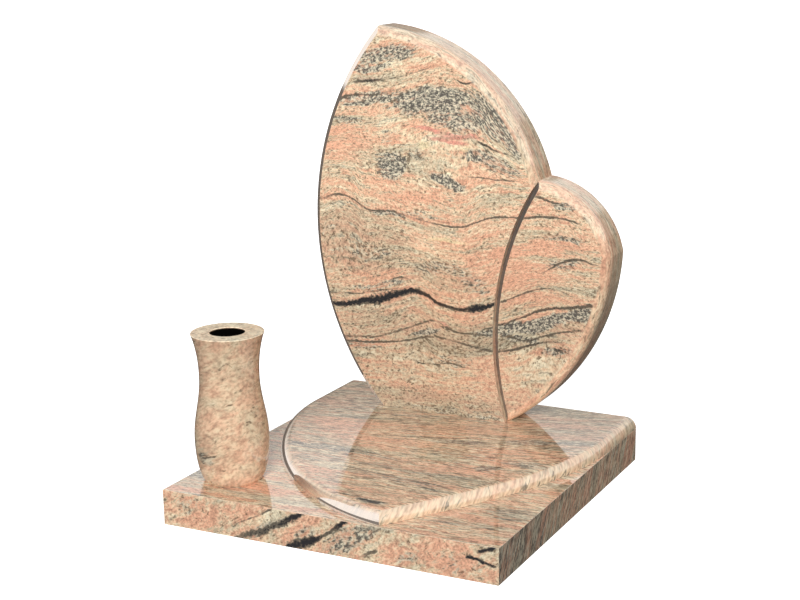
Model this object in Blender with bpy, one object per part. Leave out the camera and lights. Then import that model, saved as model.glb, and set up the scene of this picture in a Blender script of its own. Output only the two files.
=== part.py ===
"""Cinerary monument in polished granite: base slab, leaf-shaped plate, two-leaf stele and turned vase.

Metres, +Z up, front towards -Y, origin at the bottom centre of the base slab.
"""

import math

import bmesh
import bpy
import numpy as np

JOINT_GAP = 0.0003

# Base slab
SLAB_SIDE = 0.600
SLAB_THICK = 0.060

# Leaf-shaped plate: flush with the slab's sides and rear, with its tip at the slab's front edge.
# A curve leaves each side after its straight run and is drawn out by its two pulls.
PLATE_THICK = 0.020
TIP_OFF_CENTRE = 0.097
TIP_FROM_FRONT = 0.0045
LEFT_STRAIGHT = 0.130
LEFT_CURVE_PULL = 0.195
LEFT_TIP_PULL = 0.211
LEFT_TIP_ANGLE = math.radians(6.7)
RIGHT_STRAIGHT = 0.120
RIGHT_CURVE_PULL = 0.217
RIGHT_TIP_PULL = 0.135
RIGHT_TIP_ANGLE = math.radians(57)
PLATE_ROUND = PLATE_THICK

# Stele: two leaves side by side, cut from one thickness and flush in front
STELE_THICK = 0.070
STELE_FROM_REAR = 0.050
STELE_FRONT = SLAB_SIDE / 2 - STELE_FROM_REAR - STELE_THICK
STELE_FOOT = SLAB_THICK + PLATE_THICK
STELE_HIGH = 0.696
STELE_ROUND = 0.020

# Arcs in the front view, as centre x, centre above the foot and radius in shares of the stele's height
LEAF_LEFT_ARC = (0.3506, 0.4885, 0.7672)
LEAF_TOP_ARC = (-0.2586, 0.5043, 0.4971)
DIVIDING_ARC = (0.8578, 0.2227, 0.7572)
PETAL_TOP_ARC = (0.1997, 0.4181, 0.2184)
PETAL_LOW_ARC = (-0.1523, 0.4856, 0.5675)
LEAF_CHAMFER = 0.012
PETAL_CHAMFER = 0.010

# Turned vase on the slab's front left corner
VASE_FROM_SIDE = 0.0753
VASE_FROM_FRONT = 0.0937
VASE_HIGH = 0.250
VASE_RIM_RADIUS = 0.0595
VASE_NECK_RADIUS = 0.0487
VASE_NECK_HIGH = 0.176
VASE_BELLY_RADIUS = 0.0607
VASE_BELLY_HIGH = 0.073
VASE_FOOT_RADIUS = 0.0460
BORE_RADIUS = 0.0285
BORE_DEEP = 0.200
VASE_STEPS = 72


def clear_scene():
    for obj in list(bpy.data.objects):
        bpy.data.objects.remove(obj, do_unlink=True)


def granite(name, color):
    mat = bpy.data.materials.new(name)
    mat.use_nodes = True
    shader = mat.node_tree.nodes["Principled BSDF"]
    shader.inputs["Base Color"].default_value = (*color, 1)
    shader.inputs["Roughness"].default_value = 0.12
    return mat


def finish(name, bm, color, angle=30):
    bmesh.ops.remove_doubles(bm, verts=bm.verts, dist=1e-6)
    bmesh.ops.dissolve_degenerate(bm, edges=bm.edges, dist=1e-6)
    bmesh.ops.recalc_face_normals(bm, faces=bm.faces)
    mesh = bpy.data.meshes.new(name)
    bm.to_mesh(mesh)
    bm.free()
    mesh.shade_smooth()
    mesh.set_sharp_from_angle(angle=math.radians(angle))
    obj = bpy.data.objects.new(name, mesh)
    bpy.context.scene.collection.objects.link(obj)
    mesh.materials.append(granite(name + "_granite", color))
    return obj


def bezier(start, pull_start, pull_end, end, count=240, past=0.03):
    """Points of a cubic curve, running a little past its end so that inset copies still meet."""
    t = np.linspace(0, 1 + past, count)[:, None]
    p0, p1, p2, p3 = (np.array(p) for p in (start, pull_start, pull_end, end))
    return (1 - t) ** 3 * p0 + 3 * (1 - t) ** 2 * t * p1 + 3 * (1 - t) * t**2 * p2 + t**3 * p3


def stele_arc(shares, start, end, grow=0, over=math.radians(6), count=240):
    """Points of one of the stele's arcs between two angles, running past both ends."""
    x, z, radius = (share * STELE_HIGH for share in shares)
    z += STELE_FOOT
    radius += grow
    turn = math.copysign(over, end - start)
    a = np.linspace(start - turn, end + turn, count)
    return np.stack([x + radius * np.cos(a), z + radius * np.sin(a)], 1)


def inset(line, amount, height):
    """The line moved to its left by amount, with height as third coordinate."""
    way = np.gradient(line, axis=0)
    way /= np.linalg.norm(way, axis=1)[:, None]
    left = np.stack([-way[:, 1], way[:, 0]], 1)
    moved = line + left * np.broadcast_to(amount, len(line))[:, None]
    return np.column_stack([moved, np.broadcast_to(height, len(line))])


def crossing(first, second):
    """Where two lines cross in plan: the position along each, in steps."""
    a = first[:-1, :2]
    along = first[1:, :2] - a
    for j in range(len(second) - 1):
        c = second[j, :2]
        across = second[j + 1, :2] - c
        det = along[:, 0] * across[1] - along[:, 1] * across[0]
        det = np.where(abs(det) < 1e-15, 1e-15, det)
        gap = c - a
        s = (gap[:, 0] * across[1] - gap[:, 1] * across[0]) / det
        u = (gap[:, 0] * along[:, 1] - gap[:, 1] * along[:, 0]) / det
        hit = np.nonzero((s >= 0) & (s <= 1) & (u >= 0) & (u <= 1))[0]
        if len(hit):
            return hit[0] + s[hit[0]], j + u[hit[0]]
    return None


def at(line, position):
    i = min(int(position), len(line) - 2)
    return line[i] + (line[i + 1] - line[i]) * (position - i)


def stretch(line, start, end, count):
    """The part of a line between two positions, as count even steps without its last point."""
    inner = line[int(start) + 1 : int(math.ceil(end))]
    points = np.vstack([at(line, start), inner, at(line, end)])
    run = np.concatenate([[0], np.cumsum(np.linalg.norm(np.diff(points[:, :2], axis=0), axis=1))])
    wanted = np.linspace(0, run[-1], count + 1)[:-1]
    return np.stack([np.interp(wanted, run, points[:, k]) for k in range(3)], 1)


def ring(sides, counts):
    """One closed ring from sides that follow each other, each cut where it meets its neighbours."""
    meets = [crossing(sides[k - 1], sides[k]) for k in range(len(sides))]
    parts = []
    for k, side in enumerate(sides):
        start = meets[k][1]
        end = meets[(k + 1) % len(sides)][0]
        parts.append(stretch(side, start, end, counts[k]))
    return np.vstack(parts)


def add_rings(bm, rings):
    """Walls between rings of equal length, closed by a face on the first and the last ring."""
    loops = [[bm.verts.new(p) for p in points] for points in rings]
    for low, high in zip(loops, loops[1:]):
        for k in range(len(low)):
            n = (k + 1) % len(low)
            bm.faces.new([low[k], low[n], high[n], high[k]])
    bm.faces.new(loops[0])
    bm.faces.new(loops[-1])


def make_slab():
    bm = bmesh.new()
    bmesh.ops.create_cube(bm, size=1)
    bmesh.ops.scale(bm, vec=(SLAB_SIDE, SLAB_SIDE, SLAB_THICK), verts=bm.verts)
    bmesh.ops.translate(bm, vec=(0, 0, SLAB_THICK / 2), verts=bm.verts)
    return finish("base_slab", bm, (0.52, 0.36, 0.26))


def plate_edge(start, pull, tip_pull, tip_angle, side):
    """One curved side of the plate from the slab's rear to the tip; side is -1 on the left, 1 on the right."""
    half = SLAB_SIDE / 2
    tip = np.array([TIP_OFF_CENTRE, TIP_FROM_FRONT - half])
    aim = tip + tip_pull * np.array([side * math.cos(tip_angle), math.sin(tip_angle)])
    curve = bezier((side * half, start), (side * half, start - pull), aim, tip)
    past_rear = (side * half, half + PLATE_ROUND)
    return np.vstack([np.linspace(past_rear, curve[0], 40)[:-1], curve])


def make_plate():
    half = SLAB_SIDE / 2
    left = plate_edge(half - LEFT_STRAIGHT, LEFT_CURVE_PULL, LEFT_TIP_PULL, LEFT_TIP_ANGLE, -1)
    right = plate_edge(half - RIGHT_STRAIGHT, RIGHT_CURVE_PULL, RIGHT_TIP_PULL, RIGHT_TIP_ANGLE, 1)[::-1]
    rear = np.array([[half + PLATE_ROUND, half], [-half - PLATE_ROUND, half]])
    bm = bmesh.new()
    rings = []
    for turn in np.radians(np.linspace(0, 90, 10)):
        back = PLATE_ROUND * (1 - math.cos(turn))
        height = SLAB_THICK + max(PLATE_ROUND * math.sin(turn), JOINT_GAP)
        sides = [inset(left, back, height), inset(right, back, height), inset(rear, 0, height)]
        rings.append(ring(sides, (36, 30, 2)))
    add_rings(bm, rings)
    return finish("leaf_plate", bm, (0.60, 0.44, 0.33), 20)


def edge_insets(depth, chamfer):
    """How far the chamfered and the rounded front edges stand back at a depth behind the front face."""
    cut = max(chamfer - depth, 0)
    short = max(STELE_ROUND - depth, 0)
    return cut, STELE_ROUND - math.sqrt(STELE_ROUND**2 - short**2)


def stele_depths(chamfer):
    turns = np.radians(np.linspace(0, 90, 8))
    return sorted({*(STELE_ROUND * (1 - np.cos(turns))).tolist(), chamfer, STELE_THICK})


def stele_stone(name, outline, chamfer, color):
    """A stone of the stele from its outline at each depth behind the front face."""
    bm = bmesh.new()
    rings = []
    for depth in stele_depths(chamfer):
        points = outline(*edge_insets(depth, chamfer))
        y = np.full(len(points), STELE_FRONT + depth)
        rings.append(np.column_stack([points[:, 0], y, points[:, 1]]))
    add_rings(bm, rings)
    return finish(name, bm, color)


def stele_foot():
    level = STELE_FOOT + JOINT_GAP
    return np.column_stack([np.linspace(-SLAB_SIDE / 2, SLAB_SIDE / 2, 60), np.full(60, level)])


def leaf_outline(cut, rounded):
    foot = inset(stele_foot(), 0, 0)
    inner = inset(stele_arc(DIVIDING_ARC, math.radians(198), math.radians(145), JOINT_GAP / 2), 0, 0)
    top = inset(stele_arc(LEAF_TOP_ARC, math.radians(14), math.radians(88)), rounded, 0)
    left = inset(stele_arc(LEAF_LEFT_ARC, math.radians(137), math.radians(221)), cut, 0)
    return ring([foot, inner, top, left], (6, 26, 20, 28))


def petal_outline(cut, rounded):
    foot = inset(stele_foot(), 0, 0)
    low = inset(stele_arc(PETAL_LOW_ARC, math.radians(-60), math.radians(2)), rounded, 0)
    top = inset(stele_arc(PETAL_TOP_ARC, math.radians(8), math.radians(90)), rounded, 0)
    inner = inset(stele_arc(DIVIDING_ARC, math.radians(142), math.radians(200), -JOINT_GAP / 2), cut, 0)
    on_low = crossing(foot, low)
    on_inner = crossing(inner, foot)
    counts = (2, 26, 16, 26)
    if on_low[0] > on_inner[1]:
        return ring([foot, low, top, inner], counts)
    # The edges meet above the foot, so the ring ends in a point there
    low_start = crossing(inner, low)
    low_top = crossing(low, top)
    top_inner = crossing(top, inner)
    point = at(low, low_start[1])
    return np.vstack(
        [
            np.tile(point, (counts[0], 1)),
            stretch(low, low_start[1], low_top[0], counts[1]),
            stretch(top, low_top[1], top_inner[0], counts[2]),
            stretch(inner, top_inner[1], low_start[0], counts[3]),
        ]
    )


def vase_profile():
    """Outer side from the rim down to the foot, as (radius, height) pairs."""
    points = []
    for k in range(9):
        t = k / 8
        rise = 1 - (1 - t) ** 2.3
        radius = VASE_RIM_RADIUS + (VASE_NECK_RADIUS - VASE_RIM_RADIUS) * rise
        points.append((radius, VASE_HIGH + (VASE_NECK_HIGH - VASE_HIGH) * t))
    for k in range(1, 12):
        t = k / 11
        swing = (1 - math.cos(math.pi * t)) / 2
        radius = VASE_NECK_RADIUS + (VASE_BELLY_RADIUS - VASE_NECK_RADIUS) * swing
        points.append((radius, VASE_NECK_HIGH + (VASE_BELLY_HIGH - VASE_NECK_HIGH) * t))
    for k in range(1, 10):
        t = k / 9
        fall = 1 - math.sqrt(1 - (0.97 * t) ** 2)
        share = fall / (1 - math.sqrt(1 - 0.97**2))
        radius = VASE_BELLY_RADIUS + (VASE_FOOT_RADIUS - VASE_BELLY_RADIUS) * share
        points.append((radius, VASE_BELLY_HIGH * (1 - t)))
    return points


def make_vase():
    x = VASE_FROM_SIDE - SLAB_SIDE / 2
    y = VASE_FROM_FRONT - SLAB_SIDE / 2
    base = SLAB_THICK + JOINT_GAP
    outer = vase_profile()
    floor = VASE_HIGH - BORE_DEEP
    line = [(0, floor), (BORE_RADIUS, floor), (BORE_RADIUS, VASE_HIGH), *outer, (0, 0)]
    bm = bmesh.new()
    verts = [bm.verts.new((x + r, y, base + z)) for r, z in line]
    edges = [bm.edges.new(pair) for pair in zip(verts, verts[1:])]
    bmesh.ops.spin(
        bm,
        geom=verts + edges,
        cent=(x, y, 0),
        axis=(0, 0, 1),
        angle=math.tau,
        steps=VASE_STEPS,
        use_merge=True,
    )
    return finish("flower_vase", bm, (0.62, 0.43, 0.31), 35)


clear_scene()
make_slab()
make_plate()
stele_stone("stele_leaf", leaf_outline, LEAF_CHAMFER, (0.58, 0.42, 0.32))
stele_stone("stele_petal", petal_outline, PETAL_CHAMFER, (0.58, 0.40, 0.31))
make_vase()
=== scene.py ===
import math

import bmesh
import bpy
import numpy as np
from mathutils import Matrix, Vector


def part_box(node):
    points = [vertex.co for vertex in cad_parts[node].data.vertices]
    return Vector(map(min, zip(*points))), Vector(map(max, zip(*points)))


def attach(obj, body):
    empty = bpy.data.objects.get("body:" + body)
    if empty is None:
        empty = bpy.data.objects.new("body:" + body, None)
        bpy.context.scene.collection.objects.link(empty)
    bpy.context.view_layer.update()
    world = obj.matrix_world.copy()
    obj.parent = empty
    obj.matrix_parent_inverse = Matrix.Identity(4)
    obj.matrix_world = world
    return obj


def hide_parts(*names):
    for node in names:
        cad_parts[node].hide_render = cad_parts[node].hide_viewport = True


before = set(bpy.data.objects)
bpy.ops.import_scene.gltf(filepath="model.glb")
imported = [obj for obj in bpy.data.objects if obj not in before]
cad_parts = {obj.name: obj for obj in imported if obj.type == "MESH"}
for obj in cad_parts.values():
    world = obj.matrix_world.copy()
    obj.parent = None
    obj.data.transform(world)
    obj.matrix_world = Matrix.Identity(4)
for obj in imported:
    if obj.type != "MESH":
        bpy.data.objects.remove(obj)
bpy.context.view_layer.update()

mm = 0.001

# Sizes shared by the pieces, from the frame
slabLow, slabHigh = (Vector(corner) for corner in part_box("base_slab"))
plateLow, plateHigh = (Vector(corner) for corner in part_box("leaf_plate"))
leafLow, leafHigh = (Vector(corner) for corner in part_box("stele_leaf"))
vaseLow, vaseHigh = (Vector(corner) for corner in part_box("flower_vase"))
jointGap = 0.3 * mm


# Lines in plan that the stones' outlines are cut from

def bezierLine(start, pullStart, pullEnd, end, count=600, past=0.03):
    t = np.linspace(0, 1 + past, count)[:, None]  # runs past its end so that inset copies still meet
    p0, p1, p2, p3 = (np.array(p) for p in (start, pullStart, pullEnd, end))
    return (1 - t) ** 3 * p0 + 3 * (1 - t) ** 2 * t * p1 + 3 * (1 - t) * t**2 * p2 + t**3 * p3


def arcLine(circle, startDegrees, endDegrees, over=6, count=600):
    x, z, radius = circle
    turn = math.copysign(over, endDegrees - startDegrees)
    a = np.radians(np.linspace(startDegrees - turn, endDegrees + turn, count))
    return np.stack([x + radius * np.cos(a), z + radius * np.sin(a)], 1)


def insetLine(line, amount, height):
    way = np.gradient(line, axis=0)
    way /= np.linalg.norm(way, axis=1)[:, None]
    left = np.stack([-way[:, 1], way[:, 0]], 1)
    return np.column_stack([line + left * amount, np.full(len(line), height)])


def crossingOf(first, second):
    a = first[:-1, None, :2]
    along = first[1:, None, :2] - a
    c = second[None, :-1, :2]
    across = second[None, 1:, :2] - c
    det = along[..., 0] * across[..., 1] - along[..., 1] * across[..., 0]
    det = np.where(abs(det) < 1e-15, 1e-15, det)
    gap = c - a
    s = (gap[..., 0] * across[..., 1] - gap[..., 1] * across[..., 0]) / det
    u = (gap[..., 0] * along[..., 1] - gap[..., 1] * along[..., 0]) / det
    hits = np.argwhere((s >= 0) & (s <= 1) & (u >= 0) & (u <= 1))
    i, j = hits[np.argmin(hits[:, 1])]
    return i + s[i, j], j + u[i, j]


def pointAt(line, position):
    i = min(int(position), len(line) - 2)
    return line[i] + (line[i + 1] - line[i]) * (position - i)


def stretchOf(line, start, end, count):
    inner = line[int(start) + 1 : int(math.ceil(end))]
    points = np.vstack([pointAt(line, start), inner, pointAt(line, end)])
    run = np.concatenate([[0], np.cumsum(np.linalg.norm(np.diff(points[:, :2], axis=0), axis=1))])
    wanted = np.linspace(0, run[-1], count + 1)[:-1]
    return np.stack([np.interp(wanted, run, points[:, k]) for k in range(3)], 1)


def ringOf(sides, counts):
    meets = [crossingOf(sides[k - 1], sides[k]) for k in range(len(sides))]
    parts = []
    for k, side in enumerate(sides):
        parts.append(stretchOf(side, meets[k][1], meets[(k + 1) % len(sides)][0], counts[k]))
    return np.vstack(parts)


# Meshes

def stoneMesh(name, rings, material, sharpDegrees=25):
    count = len(rings[0])
    verts = np.vstack(rings)
    faces = [list(range(count)), list(range((len(rings) - 1) * count, len(rings) * count))]
    for r in range(len(rings) - 1):
        for k in range(count):
            n = (k + 1) % count
            low = r * count
            high = low + count
            faces.append([low + k, low + n, high + n, high + k])
    mesh = bpy.data.meshes.new(name)
    mesh.from_pydata(verts.tolist(), [], faces)
    outer = rings[len(rings) // 2]
    steps = np.linalg.norm(np.diff(outer, axis=0), axis=1)
    run = np.concatenate([[0], np.cumsum(steps)])
    edgeRun = mesh.attributes.new("edgeRun", "FLOAT", "POINT")  # how far round the outline each point lies
    edgeRun.data.foreach_set("value", np.tile(run, len(rings)).astype(np.float32))
    bm = bmesh.new()
    bm.from_mesh(mesh)
    bmesh.ops.remove_doubles(bm, verts=bm.verts, dist=1e-6)
    bmesh.ops.dissolve_degenerate(bm, edges=bm.edges, dist=1e-6)
    bm.to_mesh(mesh)
    bm.free()
    return polished(name, mesh, material, sharpDegrees)


def polished(name, mesh, material, sharpDegrees):
    bm = bmesh.new()
    bm.from_mesh(mesh)
    bmesh.ops.recalc_face_normals(bm, faces=bm.faces)
    bm.to_mesh(mesh)
    bm.free()
    mesh.shade_smooth()
    mesh.set_sharp_from_angle(angle=math.radians(sharpDegrees))
    mesh.materials.clear()
    mesh.materials.append(material)
    piece = bpy.data.objects.new(name, mesh)
    bpy.context.scene.collection.objects.link(piece)
    # Keeps the polished flats free of edge shading
    flat = piece.modifiers.new("flatFaces", "WEIGHTED_NORMAL")
    flat.keep_sharp = True
    flat.weight = 100
    return bakeModifiers(piece)


def bakeModifiers(piece):
    bpy.context.view_layer.update()
    graph = bpy.context.evaluated_depsgraph_get()
    mesh = bpy.data.meshes.new_from_object(piece.evaluated_get(graph), depsgraph=graph)
    piece.modifiers.clear()
    old = piece.data
    piece.data = mesh
    bpy.data.meshes.remove(old)
    mesh.name = piece.name
    return piece


def standsFor(piece, node):
    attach(piece, "root")
    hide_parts(node)
    print("made", piece.name, len(piece.data.polygons), "faces")


# Shader nodes

def put(tree, kind, inputs=None, **settings):
    node = tree.nodes.new(kind)
    for key, value in settings.items():
        setattr(node, key, value)
    for key, value in (inputs or {}).items():
        if isinstance(value, bpy.types.NodeSocket):
            tree.links.new(value, node.inputs[key])
        else:
            node.inputs[key].default_value = value
    return node


def maths(tree, operation, a, b=0.0, c=0.0):
    return put(tree, "ShaderNodeMath", {0: a, 1: b, 2: c}, operation=operation).outputs[0]


def vectorMaths(tree, operation, a, b=(0, 0, 0)):
    return put(tree, "ShaderNodeVectorMath", {0: a, 1: b}, operation=operation).outputs


def times(tree, a, b):
    return maths(tree, "MULTIPLY", a, b)


# The start plus each value times its weight
def weighed(tree, start, *terms):
    total = start
    for value, weight in terms:
        total = maths(tree, "MULTIPLY_ADD", value, weight, total)
    return total


def spread(tree, value, low, high, toLow=0.0, toHigh=1.0):
    inputs = {"Value": value, "From Min": low, "From Max": high, "To Min": toLow, "To Max": toHigh}
    return put(tree, "ShaderNodeMapRange", inputs, interpolation_type="SMOOTHSTEP").outputs[0]


def axesOf(tree, vector, wanted="XYZ"):
    outputs = put(tree, "ShaderNodeSeparateXYZ", {0: vector}).outputs
    return [outputs[axis] for axis in wanted]


def planeOf(tree, along, across):
    return put(tree, "ShaderNodeCombineXYZ", {0: along, 1: 0.0, 2: across}).outputs[0]


def blendColor(tree, amount, a, b):
    node = put(tree, "ShaderNodeMix", data_type="RGBA")
    for socket, value in zip((node.inputs[0], node.inputs[6], node.inputs[7]), (amount, a, b)):
        if isinstance(value, bpy.types.NodeSocket):
            tree.links.new(value, socket)
        else:
            socket.default_value = value if isinstance(value, float) else (*value, 1)
    return node.outputs[2]


def noiseOf(tree, vector, stretch, detail, rough, distort, shift):
    inputs = {"Vector": vector, "Location": shift, "Scale": stretch}
    scaled = put(tree, "ShaderNodeMapping", inputs).outputs[0]
    inputs = {"Vector": scaled, "Scale": 1.0, "Detail": detail, "Roughness": rough, "Distortion": distort}
    return put(tree, "ShaderNodeTexNoise", inputs).outputs[0]


def brighter(tree, color, amount):
    return put(tree, "ShaderNodeHueSaturation", {"Color": color, "Value": amount}).outputs[0]


# The masks come from a generator, so that each is merged before the next is made and few stay open at once
def most(tree, masks):
    total = next(masks)
    for mask in masks:
        total = maths(tree, "MAXIMUM", total, mask)
    return total


# Granite: colours, and the places of the steps between them

granite = {
    "pinkDeep": (0.77, 0.42, 0.275),
    "peach": (0.79, 0.50, 0.33),
    "sand": (0.79, 0.60, 0.40),
    "cream": (0.85, 0.75, 0.54),
    "greenGrey": (0.44, 0.39, 0.27),
    "grainBrown": (0.165, 0.115, 0.072),
    "greyLight": (0.74, 0.66, 0.49),
    "greyMiddle": (0.37, 0.345, 0.27),
    "greyDark": (0.098, 0.094, 0.084),
    "polishedEdge": (0.86, 0.80, 0.75),
    # Painted shade for the chamfer at the stele's joint
    "jointPaintedShade": (0.13, 0.135, 0.145),
    "veinEdge": (0.105, 0.088, 0.066),
    "veinCore": (0.014, 0.016, 0.020),
    "red": (0.72, 0.26, 0.21),
    "yellow": (0.88, 0.72, 0.42),
    "bodySteps": ((0.36, "pinkDeep"), (0.46, "peach"), (0.55, "sand"), (0.68, "cream")),
    "greySteps": ((0.42, "greyLight"), (0.53, "greyMiddle"), (0.64, "greyDark")),
    "roughness": 0.04,
    "ior": 2.2,
    "edgeHides": 0.85,  # how much of the stone's colour the polish of a narrow edge hides
    "edgeMirror": 0.85,
    "jointMirror": 0.35,
}

# How the grain lies: noise scales per metre along the layers, through them and across them
layeredGrain = {
    "band": (5, 30, 42), "fine": (28, 90, 150), "crystal": (130, 190, 210), "grain": (170, 240, 260),
    "tiny": (320, 420, 450), "lines": (4.5, 50, 75), "dark": 0.012, "hues": 1.0, "shades": 1.0,
}
streakyGrain = {
    "band": (4, 30, 34), "fine": (9, 90, 170), "crystal": (45, 220, 260), "grain": (50, 290, 320),
    "tiny": (200, 400, 440), "lines": (4.2, 50, 95), "dark": 0.035, "hues": 1.7, "shades": 1.7,
}
coarseGrain = {
    "band": (12, 30, 26), "fine": (40, 90, 100), "crystal": (110, 130, 140), "grain": (115, 140, 150),
    "tiny": (240, 260, 280), "lines": (6, 40, 40), "dark": -0.012, "hues": 1.1, "shades": 1.1,
}
smearedGrain = {
    "band": (12, 20, 30), "fine": (24, 60, 90), "crystal": (38, 70, 160), "grain": (36, 60, 140),
    "tiny": (110, 190, 230), "lines": (8, 40, 50), "dark": -0.075, "hues": 0.4, "shades": 0.9,
}

# Detail, roughness and distortion of each noise
grainNoise = {
    "band": (3, 0.55, 0.0),
    "fine": (3, 0.6, 0.4),
    "crystal": (2, 0.6, 0.3),
    "grain": (2, 0.6, 0.3),
    "tiny": (1, 0.5, 0.0),
}
wispSets = ((3, 0.75), (11, 0.55))  # the shift and the strength of each set of fine broken lines

plainMasks = {
    "grey": 0.0, "cream": 0.0, "salmon": 0.0, "red": 0.0,
    "yellow": 0.0, "dusk": 0.0, "vein": 0.0, "wisp": 1.0,
}
lensRim = 1.25  # a zone fades out this far beyond its half length and half height
curveSpan = {"left": -320 * mm, "right": 320 * mm}
veinSpan = {"high": 800, "widest": 24}  # mm that a curve's value of 1 stands for


def graniteTree(name):
    material = bpy.data.materials.new(name)
    material.use_nodes = True
    tree = material.node_tree
    tree.nodes.clear()
    output = put(tree, "ShaderNodeOutputMaterial")
    shader = put(tree, "ShaderNodeBsdfPrincipled")
    shader.inputs["Roughness"].default_value = granite["roughness"]
    shader.inputs["IOR"].default_value = granite["ior"]
    tree.links.new(shader.outputs[0], output.inputs[0])
    coords = put(tree, "ShaderNodeTexCoord")
    return material, tree, shader, coords.outputs["Object"], coords.outputs["Normal"]


# Each turn is a noise scale per metre and a reach in metres
def warped(tree, coords, *turns):
    result = coords
    for scale, reach in turns:
        noise = put(tree, "ShaderNodeTexNoise", {"Vector": coords, "Scale": scale, "Detail": 2.0})
        centred = vectorMaths(tree, "SUBTRACT", noise.outputs["Color"], (0.5, 0.5, 0.5))[0]
        pushed = vectorMaths(tree, "MULTIPLY", centred, (reach,) * 3)[0]
        result = vectorMaths(tree, "ADD", result, pushed)[0]
    return result


# The layers of one face, tilted in degrees from its long way
def faceFlow(tree, along, across, tilt, *turns):
    inputs = {"Vector": planeOf(tree, along, across), "Rotation": (0, math.radians(tilt), 0)}
    return warped(tree, put(tree, "ShaderNodeMapping", inputs).outputs[0], *turns)


# Layers that follow a stone's outline, from the edgeRun attribute
def edgeFlow(tree, depth, tilt, *turns):
    run = put(tree, "ShaderNodeAttribute", attribute_name="edgeRun").outputs["Fac"]
    return faceFlow(tree, run, depth, tilt, *turns)


def colorSteps(tree, value, steps):
    node = put(tree, "ShaderNodeValToRGB", {0: value})
    elements = node.color_ramp.elements
    while len(elements) < len(steps):
        elements.new(0.5)
    for element, (place, color) in zip(elements, steps):
        element.position = place
        element.color = (*granite[color], 1)
    return node.outputs[0]


# The noises that a face's parts share, and how far each swings from its middle
def grainNoises(tree, flow, lie, seed):
    noises = {name: noiseOf(tree, flow, lie[name], *how, seed) for name, how in grainNoise.items()}
    swinging = ("band", "fine", "crystal", "tiny")
    swings = {name: maths(tree, "SUBTRACT", noises[name], 0.5) for name in swinging}
    return noises, swings


def bodyColor(tree, lie, masks, noises, swings):
    hues = lie["hues"]
    tone = weighed(tree, 0.5, (swings["band"], 0.75 * hues), (swings["fine"], 0.60 * hues))
    tone = weighed(tree, tone, (swings["crystal"], 0.45 * hues))
    tone = weighed(tree, tone, (masks["cream"], 0.10), (masks["salmon"], -0.09))
    body = colorSteps(tree, tone, granite["bodySteps"])
    body = blendColor(tree, times(tree, masks["red"], 0.75), body, granite["red"])
    body = blendColor(tree, times(tree, masks["yellow"], 0.7), body, granite["yellow"])
    hazy = spread(tree, noises["band"], 0.50, 0.66, 0.0, 0.40 * min(hues, 1))
    body = blendColor(tree, hazy, body, granite["greenGrey"])
    return blendColor(tree, times(tree, masks["dusk"], 0.5), body, granite["greenGrey"])


# Dark grains, which crowd round the grey zones
def darkGrains(tree, body, lie, masks, noises, swings):
    dense = weighed(tree, noises["grain"], (masks["grey"], 0.12))
    dense = weighed(tree, dense, (swings["fine"], 0.42), (swings["band"], 0.25), (swings["tiny"], 0.25))
    dense = weighed(tree, dense, (masks["cream"], -0.03), (masks["dusk"], 0.05))
    dense = maths(tree, "ADD", dense, lie["dark"])
    return blendColor(tree, spread(tree, dense, 0.555, 0.72, 0.0, 0.88), body, granite["grainBrown"])


# Each crystal is a little lighter or darker
def litCrystals(tree, body, lie, swings):
    shades = lie["shades"]
    lit = weighed(tree, 0.95, (swings["crystal"], shades), (swings["tiny"], 1.2 * shades))
    lit = weighed(tree, lit, (swings["fine"], 0.6 * shades))
    return brighter(tree, body, maths(tree, "MINIMUM", lit, 1.12))


def greyZones(tree, body, masks, noises, swings):
    salt = weighed(tree, noises["grain"], (swings["tiny"], 0.5), (masks["grey"], 0.07))
    edge = weighed(tree, masks["grey"], (swings["fine"], 1.7), (swings["crystal"], 1.3))
    zone = times(tree, spread(tree, edge, 0.18, 0.85), spread(tree, masks["grey"], 0.0, 0.2, 0.0, 0.92))
    return blendColor(tree, zone, body, colorSteps(tree, salt, granite["greySteps"]))


# Fine broken lines along the layers
def brokenLines(tree, body, flow, lie, masks, seed, noises, swings):
    for shift, share in wispSets:
        wisp = noiseOf(tree, flow, lie["lines"], 2, 0.5, 0.0, (seed[0] + shift, seed[1], seed[2] + 8))
        ridge = maths(tree, "ABSOLUTE", maths(tree, "SUBTRACT", wisp, 0.5))
        ridge = weighed(tree, ridge, (swings["crystal"], -0.16))
        gaps = spread(tree, weighed(tree, noises["fine"], (swings["band"], 0.6)), 0.44, 0.60, 0.0, share)
        lines = times(tree, spread(tree, ridge, 0.020, 0.002), gaps)
        body = blendColor(tree, times(tree, lines, masks["wisp"]), body, granite["veinEdge"])
    return body


def darkVeins(tree, body, vein, swings):
    broken = weighed(tree, vein, (swings["crystal"], 1.0), (swings["fine"], 1.3))
    broken = times(tree, spread(tree, broken, 0.14, 0.62), spread(tree, vein, 0.02, 0.2, 0.0, 0.92))
    body = blendColor(tree, broken, body, granite["veinEdge"])
    core = weighed(tree, vein, (swings["tiny"], 0.7))
    return blendColor(tree, spread(tree, core, 0.60, 1.0), body, granite["veinCore"])


# The flow has X along the stone's layers; each mask runs from 0 to 1
def graniteColor(tree, flow, lie, masks, seed=(0, 0, 0)):
    noises, swings = grainNoises(tree, flow, lie, seed)
    body = bodyColor(tree, lie, masks, noises, swings)
    body = darkGrains(tree, body, lie, masks, noises, swings)
    body = litCrystals(tree, body, lie, swings)
    body = greyZones(tree, body, masks, noises, swings)
    body = brokenLines(tree, body, flow, lie, masks, seed, noises, swings)
    return darkVeins(tree, body, masks["vein"], swings)


# The narrow edges carry a mirror polish that hides most of the stone's own colour; at the stele's joint the
# edge colour is painted shade
def mirrorEdge(tree, shader, color, share, edgeColor, mirror):
    color = blendColor(tree, times(tree, share, granite["edgeHides"]), color, edgeColor)
    tree.links.new(color, shader.inputs["Base Color"])
    tree.links.new(times(tree, share, mirror), shader.inputs["Metallic"])


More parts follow.
